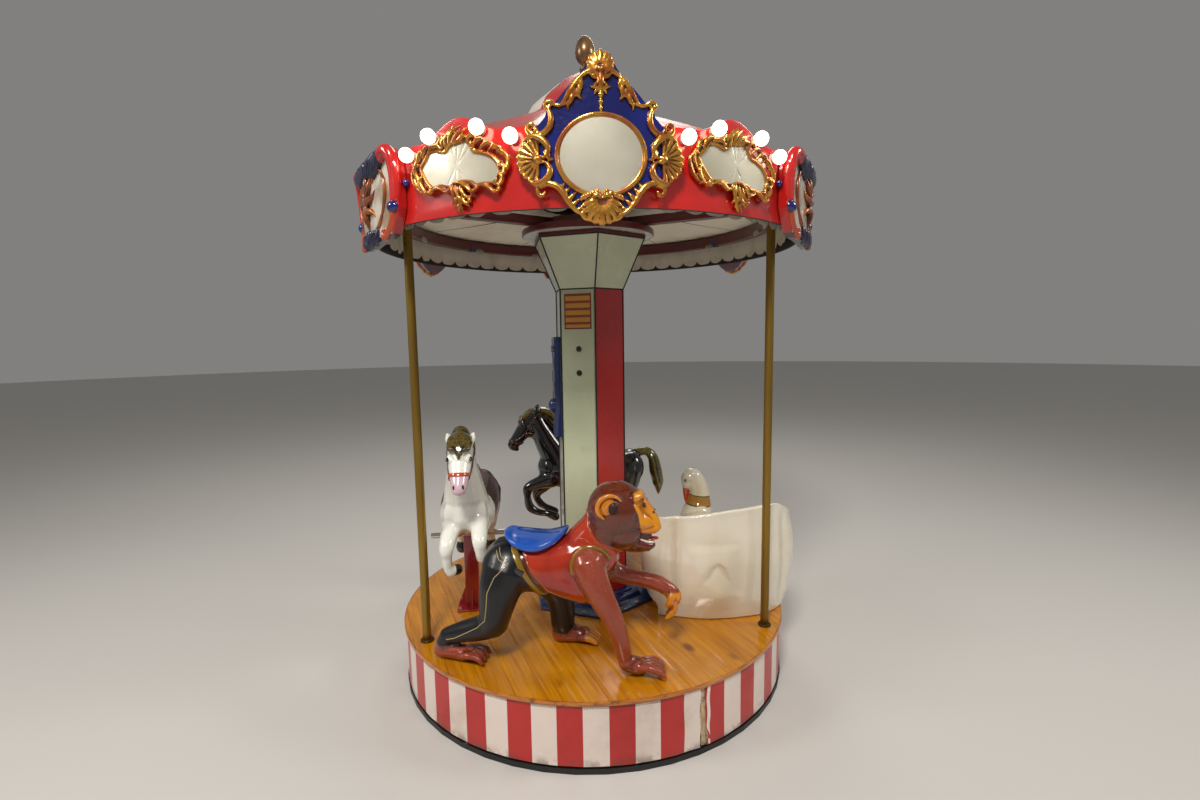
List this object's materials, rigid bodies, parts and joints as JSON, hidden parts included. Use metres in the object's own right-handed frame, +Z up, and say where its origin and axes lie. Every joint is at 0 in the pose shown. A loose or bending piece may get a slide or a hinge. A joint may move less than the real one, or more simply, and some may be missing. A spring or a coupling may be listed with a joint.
{
  "type": "fairground carousel",
  "caption": "Small ride-on carousel: round deck with striped skirt, hexagonal column, tent roof with framed mirrors, horses, a crawling monkey and a swan bench.",
  "frame": {"origin": "on the ground at the axis of rotation", "axes": "+Z up along the axis of rotation, the front medallion facing -Y"},
  "size_m": [1.88, 1.8464, 2.728],
  "materials": {
    "black_steel": "black painted steel, scuffed",
    "beige_board": "bare board behind the skirt",
    "varnished_pine": "glossy varnished pine planks",
    "striped_vinyl": "red and white striped vinyl",
    "cream_paint": "semi-gloss cream paint",
    "blue_paint": "dark blue paint",
    "dark_red_steel": "dark red painted steel",
    "brass": "dull brass with small chips",
    "white_cloth": "gathered white cloth",
    "red_gloss": "glossy red moulding",
    "gold_paint": "gold painted relief",
    "blue_gloss": "glossy blue moulding",
    "milky_mirror": "milky mirror sheet",
    "bronze": "brown bronze paint",
    "brown_fur": "glossy painted fur relief",
    "white_gloss": "glossy white and brown painted moulding",
    "black_gloss": "glossy black painted moulding",
    "ivory_gloss": "glossy ivory painted moulding"
  },
  "bodies": {
    "base": {"base_pan": "black_steel"},
    "turntable": {"black_horse": "black_gloss", "black_horse_post": "red_gloss", "canopy_frame": "dark_red_steel", "capital": "cream_paint", "cartouche_1": "gold_paint", "cartouche_2": "gold_paint", "cartouche_3": "gold_paint", "cartouche_4": "gold_paint", "cartouche_5": "gold_paint", "cartouche_6": "gold_paint", "ceiling_cloth": "white_cloth", "column": "cream_paint", "column_door": "cream_paint", "column_plinth": "blue_paint", "control_box": "blue_paint", "deck": "varnished_pine", "fascia_board_1": "red_gloss", "fascia_board_2": "red_gloss", "fascia_board_3": "red_gloss", "fascia_board_4": "red_gloss", "fascia_board_5": "red_gloss", "fascia_board_6": "red_gloss", "finial": "bronze", "medallion_1": "blue_gloss", "medallion_2": "blue_gloss", "medallion_3": "blue_gloss", "medallion_mirror_1": "milky_mirror", "medallion_mirror_2": "milky_mirror", "medallion_mirror_3": "milky_mirror", "monkey": "brown_fur", "monkey_saddle": "blue_gloss", "pole_1": "brass", "pole_2": "brass", "pole_3": "brass", "roof_cover": "striped_vinyl", "shield_1": "red_gloss", "shield_2": "red_gloss", "shield_3": "red_gloss", "skirt_1": "striped_vinyl", "skirt_2": "striped_vinyl", "skirt_3": "striped_vinyl", "swan_bench": "ivory_gloss", "underframe_drum": "beige_board", "valance": "white_cloth", "white_horse": "white_gloss", "white_horse_post": "red_gloss"}
  },
  "joints": [
    {"name": "turntable_spin", "type": "hinge", "parent": "base", "child": "turntable", "pos_m": [0, 0, 0.032], "axis": [0, 0, 1], "continuous": true}
  ]
}
